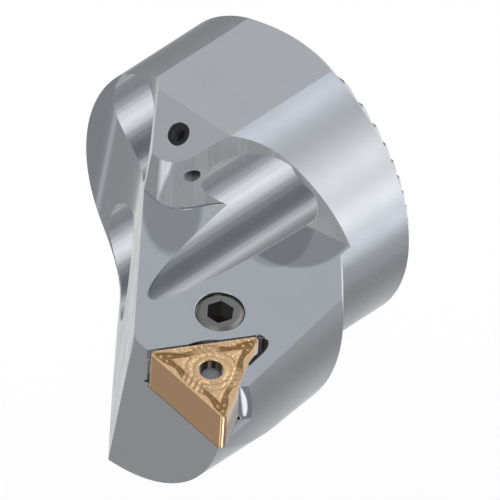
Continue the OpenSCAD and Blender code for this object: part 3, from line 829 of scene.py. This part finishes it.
# the insert as one closed skin: across the top face from the hole to the edge, down the flank,
# back under the bottom face and up the hole
def buildInsert(p):
    outline = insertOutline(p)
    angle = np.arctan2(outline[:, 1], outline[:, 0])
    inner = p["holeRadius"] * np.stack([np.cos(angle), np.sin(angle)], 1)
    # the face ends just short of the side, where the honed edge turns down
    share = np.linspace(0, 1, p["acrossFace"])
    share = 0.5 * share + 0.5 * (1 - (1 - share) ** 1.5)
    reach = np.hypot(outline[:, 0], outline[:, 1])
    edgeIn = outline * (1 - p["honed"] / reach)[:, None]
    top = inner[None] + share[:, None, None] * (edgeIn - inner)[None]
    topHeight = faceHeight(top[..., 0], top[..., 1], p)
    quarter = np.radians([30, 60, 90])
    hone = edgeIn[None] + (outline - edgeIn)[None] * np.sin(quarter)[:, None, None]
    honeHeight = -p["honed"] * (1 - np.cos(quarter))[:, None] + np.zeros(len(outline))[None]
    honeHeight = honeHeight + topHeight[-1][None]
    t = p["thickness"]
    down = np.linspace(0.1, 0.9, 5)
    flank = np.repeat(outline[None], len(down), 0)
    flankHeight = np.repeat((-t * down)[:, None], len(outline), 1)
    wall = np.linspace(0.06, 0.94, 10)
    bore = np.repeat(inner[None], len(wall), 0)
    boreHeight = np.repeat((-t * (1 - wall))[:, None], len(outline), 1)
    plan = np.concatenate([top, hone, flank, hone[::-1], top[::-1], bore])
    bottomHeight = [-t - honeHeight[::-1], -t - topHeight[::-1]]
    height = np.concatenate([topHeight, honeHeight, flankHeight, *bottomHeight, boreHeight])
    local = np.concatenate([plan, height[..., None]], -1)
    points = (insertAt + local @ insertTurn.T) * mm
    obj = gridMesh("coated_insert", points, True, True)
    # marks for the coating: how deep a point of the top lies, told more strongly towards the corners, which
    # sets the painted shade in the pits, and which points are on a face or in the hole
    pit = np.zeros(height.shape)
    sides = np.radians([-90, 30, 150])
    reach = top[..., 0, None] * np.cos(sides) + top[..., 1, None] * np.sin(sides)
    alongSide = np.abs(top[..., 1, None] * np.cos(sides) - top[..., 0, None] * np.sin(sides))
    fromMiddle = np.take_along_axis(alongSide, reach.argmax(-1)[..., None], -1)[..., 0]
    deep = smoothStep(0.10, 0.75 * p["grooveDepth"], -topHeight)
    pit[:len(top)] = deep * (0.35 + 0.65 * smoothStep(0.9, 1.7, fromMiddle))
    face = np.zeros(height.shape)
    face[:len(top) + 1] = 1
    face[-len(wall) - len(top):-len(wall)] = 1
    inBore = np.zeros(height.shape)
    inBore[-len(wall):] = 1
    inBore[0] = inBore[-len(wall) - 1] = 1
    for label, values in (("pitDepth", pit), ("onFace", face), ("inBore", inBore)):
        attribute = obj.data.attributes.new(label, "FLOAT", "POINT")
        attribute.data.foreach_set("value", values.reshape(-1).astype(np.float32))
    return obj


insertPiece = buildInsert(insertForm)
dress(insertPiece, hardCoating)
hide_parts("insert")
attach(insertPiece, "head")
print("insert ready")

dress(nodes["holder_body"], milledSteel)
dress(nodes["clamp_lever"], leverSteel)
dress(nodes["lever_screw"], screwSteel)
dress(nodes["coolant_plug"], plugSteel)
# the metal shows the tent alone; what it would show of itself is painted into its colour as painted
# reflections and painted shade
for piece in (*nodes.values(), insertPiece):
    piece.visible_glossy = False
print("pieces dressed")


studio = {
    # camera: the point that it aims at in mm, its direction in degrees round and up, the scale, and
    # where in the picture the point lies
    "aim": (0.0, -1.0, 0.0),
    "azimuth": 45.0,
    "elevation": 40.0,
    "pixelsPerMm": 10.49978,
    "aimPixel": (290.160, 165.198),
    "distance": 400.0,
    "imageSize": 500,
    # floor: height and half width in mm
    "floorAt": -63.5,
    "floorHalf": 900,
    # light on what isn't glossy, and the grey ahead of the tool
    "plainLight": 1.02,
    "frontGrey": 0.375,
}

# long light panels of the tent, parallel to the shank: angle round the shank in degrees from +X
# towards +Z, brightness, and how cold the light is
tentPanels = [
    (-180, 0.33, 0), (-165, 0.30, 0), (-150, 0.31, 0), (-143, 0.50, 0), (-136, 1.00, 0), (-124, 1.12, 0),
    (-115, 0.72, 0), (-105, 0.58, 0), (-93, 0.53, 0), (-84, 0.42, 0), (-66, 0.31, 0), (-57, 0.30, 0),
    (-51, 0.50, 0), (-44, 0.39, 0.01), (-38, 0.40, 0.02), (-32, 0.90, 0.03), (-26, 1.24, 0.04),
    (-18, 0.92, 0.03), (-3, 1.52, 0), (10, 0.97, 0), (27, 1.30, -0.01), (42, 0.88, -0.01), (57, 0.60, 0.01),
    (68, 0.72, 0.03), (79, 1.16, 0.05), (91, 0.76, 0.05), (103, 0.60, 0.05), (132, 0.62, 0),
    (145, 0.80, -0.01), (160, 0.48, 0), (172, 0.35, 0),
]

# soft lamps ahead of the tool: direction, inner and outer angle in degrees, and how much each adds
frontLamps = [
    ((-0.27, -0.56, -0.80), 6, 13, 0.85),
    ((-0.40, -0.55, 0.73), 20, 60, 0.19),
    ((0.42, -0.23, -0.88), 6, 14, 3.0),
    ((0.30, -0.62, -0.72), 3, 9, 2.2),
    ((0.30, -0.68, 0.67), 10, 28, 0.8),
]


# a parallel view, placed so that the point that it aims at falls on its own place in the picture
def buildCamera(p):
    az, el = math.radians(p["azimuth"]), math.radians(p["elevation"])
    back = Vector((math.sin(az) * math.cos(el), -math.cos(az) * math.cos(el), math.sin(el)))
    right = Vector((math.cos(az), math.sin(az), 0))
    up = back.cross(right)
    half = p["imageSize"] / 2
    offRight = (half - p["aimPixel"][0]) / p["pixelsPerMm"]
    offUp = (p["aimPixel"][1] - half) / p["pixelsPerMm"]
    centre = Vector(p["aim"]) + right * offRight + up * offUp
    data = bpy.data.cameras.new("camera")
    data.type = "ORTHO"
    data.ortho_scale = p["imageSize"] / p["pixelsPerMm"] * mm
    data.clip_start, data.clip_end = 0.001, 10
    camera = bpy.data.objects.new("camera", data)
    camera.location = (centre + back * p["distance"]) * mm
    camera.rotation_euler = back.to_track_quat("Z", "Y").to_euler()
    bpy.context.scene.collection.objects.link(camera)
    bpy.context.scene.camera = camera


# the world: white behind the object, a grey light tent with long panels for what is glossy, and
# one plain level for the rest
def buildWorld(p, panels, lamps):
    world = bpy.data.worlds.new("studio")
    bpy.context.scene.world = world
    world.use_nodes = True
    world.cycles.sampling_method = "NONE"
    tree = world.node_tree
    tree.nodes.clear()
    s = Shader(tree)
    ray = s.add("ShaderNodeTexCoord").outputs["Generated"]
    x, y, z = s.split(ray)
    place = s.range(s.math("ARCTAN2", z, x), -math.pi, math.pi, smooth=False)
    levels = [((turn + 180) / 360, (level * (1 - cold), level, level * (1 + cold))) for turn, level, cold in panels]
    front = p["frontGrey"]
    for direction, inner, outer, gain in lamps:
        towards = s.dot(ray, Vector(direction).normalized())
        field = s.range(towards, math.cos(math.radians(outer)), math.cos(math.radians(inner)), 0.0, gain)
        front = s.math("ADD", field, front)
    tent = s.mixColour(s.rise(y, 0.02, 0.36), front, s.ramp(place, levels))
    path = s.add("ShaderNodeLightPath")
    glossy = s.math("ADD", path.outputs["Is Glossy Ray"], path.outputs["Is Transmission Ray"], clamp=True)
    lit = s.mixColour(glossy, (p["plainLight"],) * 3, tent)
    background = s.add("ShaderNodeBackground", Strength=1.0)
    s.join(s.mixColour(path.outputs["Is Camera Ray"], lit, (1.0, 1.0, 1.0)), background.inputs["Color"])
    output = s.add("ShaderNodeOutputWorld")
    s.join(background.outputs[0], output.inputs["Surface"])


# a plain white floor well below the head, seen white by the camera except where it is shaded
def buildFloor(p):
    steps = np.linspace(-p["floorHalf"], p["floorHalf"], 3) * mm
    gx, gy = np.meshgrid(steps, steps, indexing="ij")
    floor = gridMesh("floor", np.stack([gx, gy, np.full(gx.shape, p["floorAt"] * mm)], -1), False, False)
    material, s, shader, coords = startMaterial("paleFloor", 0.0, 0.9)
    shader.inputs["Base Color"].default_value = (1, 1, 1, 1)
    dress(floor, material)
    floor.visible_glossy = False


buildCamera(studio)
buildWorld(studio, tentPanels, frontLamps)
buildFloor(studio)
bpy.context.scene.view_settings.view_transform = "Standard"
print("studio ready")
